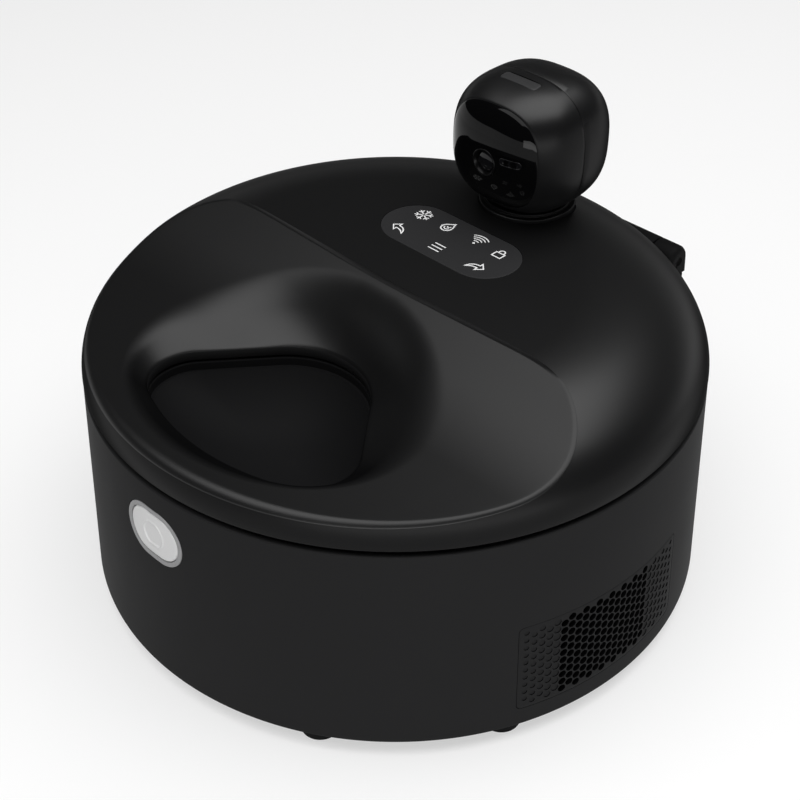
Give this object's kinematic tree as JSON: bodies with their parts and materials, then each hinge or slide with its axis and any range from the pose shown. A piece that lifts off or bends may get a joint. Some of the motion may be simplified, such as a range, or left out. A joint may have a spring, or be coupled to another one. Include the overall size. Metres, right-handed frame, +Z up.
{
  "type": "automatic wet food feeder",
  "caption": "Round cooled wet food feeder: a turning tray under a hinged dome lid with a scooped opening, touch panel, panning camera head and perforated side vent.",
  "frame": {"origin": "on the ground under the body's axis, in the plane of the undersides of the feet", "axes": "+Z up, -Y towards the front with the opening and the button, +X towards the perforated vent"},
  "size_m": [0.31, 0.31, 0.229],
  "materials": {
    "charcoal": "fine matte grain",
    "satin_black": "satin",
    "panel_grey": "fine matte grain",
    "touch_grey": "smooth matte with white pictograms",
    "tray": "smooth satin",
    "gloss_black": "polished",
    "black_plastic": "plain",
    "bezel": "satin",
    "button": "satin",
    "strip_grey": "frosted",
    "gear_plastic": "smooth",
    "board": "coated circuit board",
    "foam": "foam",
    "ceramic": "white ceramic",
    "rubber": "matte",
    "steel": "plain",
    "magnet": "plated",
    "aluminium": "satin",
    "lens_glass": "coated"
  },
  "bodies": {
    "base": {"outer_shell": "charcoal", "bottom_cover": "charcoal", "rubber_feet": "rubber", "bottom_screws": "steel", "side_grille": "charcoal", "inner_liner": "aluminium", "insulation": "foam", "cold_plate": "aluminium", "thermo_module": "ceramic", "heat_sink": "aluminium", "fan_frame": "black_plastic", "control_board": "board", "power_inlet": "black_plastic", "drive_motor": "steel", "spindle": "steel", "thrust_washer": "gear_plastic", "button_bezel": "bezel", "button_spring": "steel", "switch_board": "board", "hinge_bracket": "charcoal", "hinge_pin": "steel", "body_magnets": "magnet"},
    "fan": {"fan_rotor": "black_plastic"},
    "pinion": {"motor_pinion": "gear_plastic"},
    "turntable": {"turntable": "gear_plastic", "food_tray": "tray"},
    "button": {"button_cap": "button"},
    "lid": {"hinge_arm": "charcoal", "lid_magnets": "magnet", "lid_dome": "satin_black", "scoop_panel": "panel_grey", "lid_inner_cover": "panel_grey", "lid_seal": "rubber", "lid_screws": "steel", "touch_panel": "touch_grey", "touch_board": "board", "camera_collar": "satin_black", "pan_motor": "steel"},
    "camera": {"camera_spindle": "black_plastic", "camera_front_shell": "satin_black", "camera_rear_shell": "satin_black", "camera_window": "gloss_black", "lens_ring": "black_plastic", "camera_lens": "lens_glass", "sensor_window": "gloss_black", "status_strip": "strip_grey", "camera_board": "board"}
  },
  "joints": [
    {"name": "lid_hinge", "type": "hinge", "parent": "base", "child": "lid", "pos_m": [0, 0.147, 0.1255], "axis": [-1, 0, 0], "range_deg": [0, 80]},
    {"name": "turntable_spin", "type": "hinge", "parent": "base", "child": "turntable", "pos_m": [0, 0, 0.072], "axis": [0, 0, 1], "continuous": true},
    {"name": "pinion_spin", "type": "hinge", "parent": "base", "child": "pinion", "pos_m": [-0.06, 0, 0.072], "axis": [0, 0, 1], "continuous": true},
    {"name": "fan_spin", "type": "hinge", "parent": "base", "child": "fan", "pos_m": [0.12436, -0.01263, 0.0405], "axis": [0.9949, -0.1011, 0], "continuous": true},
    {"name": "button_press", "type": "slide", "parent": "base", "child": "button", "axis": [0, 1, 0], "range_m": [0, 0.002], "stiffness_N_per_m": 600, "springref_m": -0.002, "deforming": ["button_spring"]},
    {"name": "camera_pan", "type": "hinge", "parent": "lid", "child": "camera", "pos_m": [0, 0.094, 0.195], "axis": [0, 0, 1], "range_deg": [-160, 160]}
  ],
  "couplings": [
    {"joint": "pinion_spin", "follows": "turntable_spin", "ratio": -4}
  ]
}
